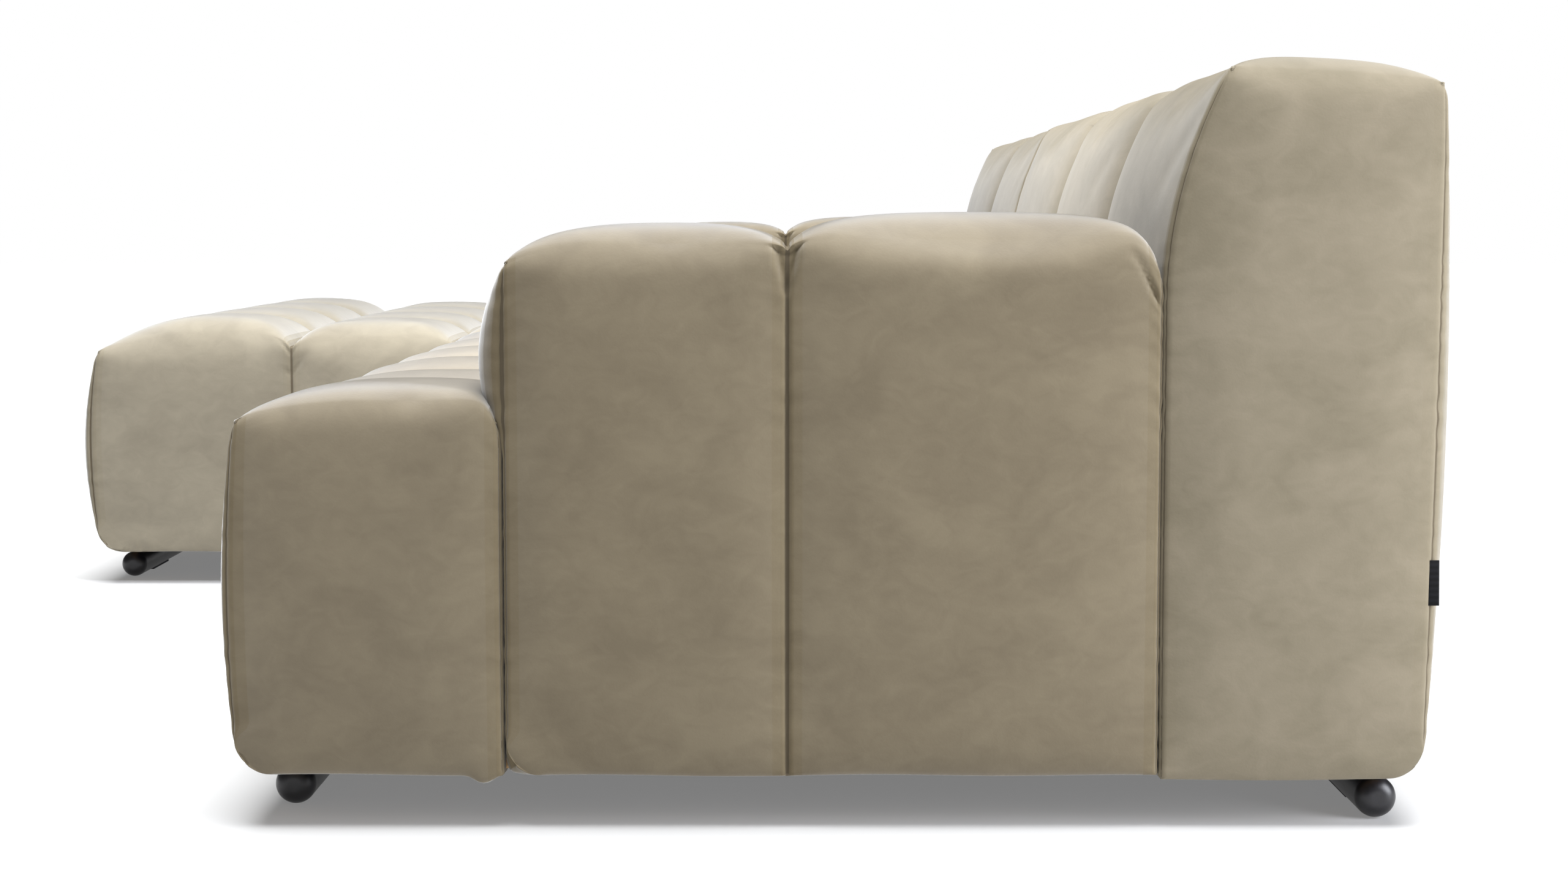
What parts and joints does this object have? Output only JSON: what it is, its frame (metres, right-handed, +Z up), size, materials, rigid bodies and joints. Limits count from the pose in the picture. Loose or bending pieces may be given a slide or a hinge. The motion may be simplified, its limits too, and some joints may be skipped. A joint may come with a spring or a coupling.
{
  "type": "lounge sofa",
  "caption": "Low lounge sofa with a chaise, tufted in crowned velvet channels, with low padded arms and a taller back, on black round bar feet.",
  "frame": {"origin": "on the floor, under the middle of the sofa's box", "axes": "+X along the sofa towards the arm of the sofa unit, +Y towards the back, +Z up"},
  "size_m": [2.7, 1.72, 0.7304],
  "materials": {
    "velvet": "matte taupe velvet",
    "tab": "plain black woven tape",
    "foam": "open-cell foam",
    "webbing": "elastic webbing",
    "dust_sheet": "black non-woven",
    "foot_lacquer": "satin black lacquer on beech",
    "felt": "dense felt",
    "foot_seat": "matte black",
    "zinc_steel": "zinc plated",
    "timber": "planed softwood and plywood"
  },
  "bodies": {
    "sofa_unit": {"connector_catch_screws": "zinc_steel", "connector_catches": "zinc_steel", "right_arm_cover": "velvet", "right_arm_foam": "foam", "right_arm_posts": "timber", "right_arm_top_board": "timber", "seam_tab": "tab", "sofa_back_cover": "velvet", "sofa_back_foam": "foam", "sofa_back_panel": "timber", "sofa_back_posts": "timber", "sofa_back_top_rail": "timber", "sofa_corner_blocks": "timber", "sofa_cross_rails": "timber", "sofa_dust_sheet": "dust_sheet", "sofa_end_rails": "timber", "sofa_foot_bar_front_left": "foot_lacquer", "sofa_foot_bar_front_right": "foot_lacquer", "sofa_foot_bar_rear_left": "foot_lacquer", "sofa_foot_bar_rear_right": "foot_lacquer", "sofa_foot_bolts": "zinc_steel", "sofa_foot_glides": "felt", "sofa_foot_seats": "foot_seat", "sofa_frame_bolts": "zinc_steel", "sofa_front_cover": "velvet", "sofa_front_rail": "timber", "sofa_rear_rail": "timber", "sofa_seat_cover": "velvet", "sofa_seat_foam": "foam", "sofa_seat_webbing": "webbing"},
    "chaise_unit": {"chaise_back_cover": "velvet", "chaise_back_foam": "foam", "chaise_back_panel": "timber", "chaise_back_posts": "timber", "chaise_back_top_rail": "timber", "chaise_corner_blocks": "timber", "chaise_cross_rails": "timber", "chaise_dust_sheet": "dust_sheet", "chaise_end_rails": "timber", "chaise_foot_bar_front_left": "foot_lacquer", "chaise_foot_bar_front_right": "foot_lacquer", "chaise_foot_bar_rear_left": "foot_lacquer", "chaise_foot_bar_rear_right": "foot_lacquer", "chaise_foot_bolts": "zinc_steel", "chaise_foot_glides": "felt", "chaise_foot_seats": "foot_seat", "chaise_frame_bolts": "zinc_steel", "chaise_front_cover": "velvet", "chaise_front_rail": "timber", "chaise_rear_rail": "timber", "chaise_seat_cover": "velvet", "chaise_seat_foam": "foam", "chaise_seat_webbing": "webbing", "connector_hook_screws": "zinc_steel", "connector_hooks": "zinc_steel", "left_arm_cover": "velvet", "left_arm_foam": "foam", "left_arm_posts": "timber", "left_arm_top_board": "timber"}
  },
  "joints": [
    {"name": "chaise_lift_off", "type": "slide", "parent": "sofa_unit", "child": "chaise_unit", "axis": [0, 0, 1], "range_m": [0, 0.06]}
  ]
}
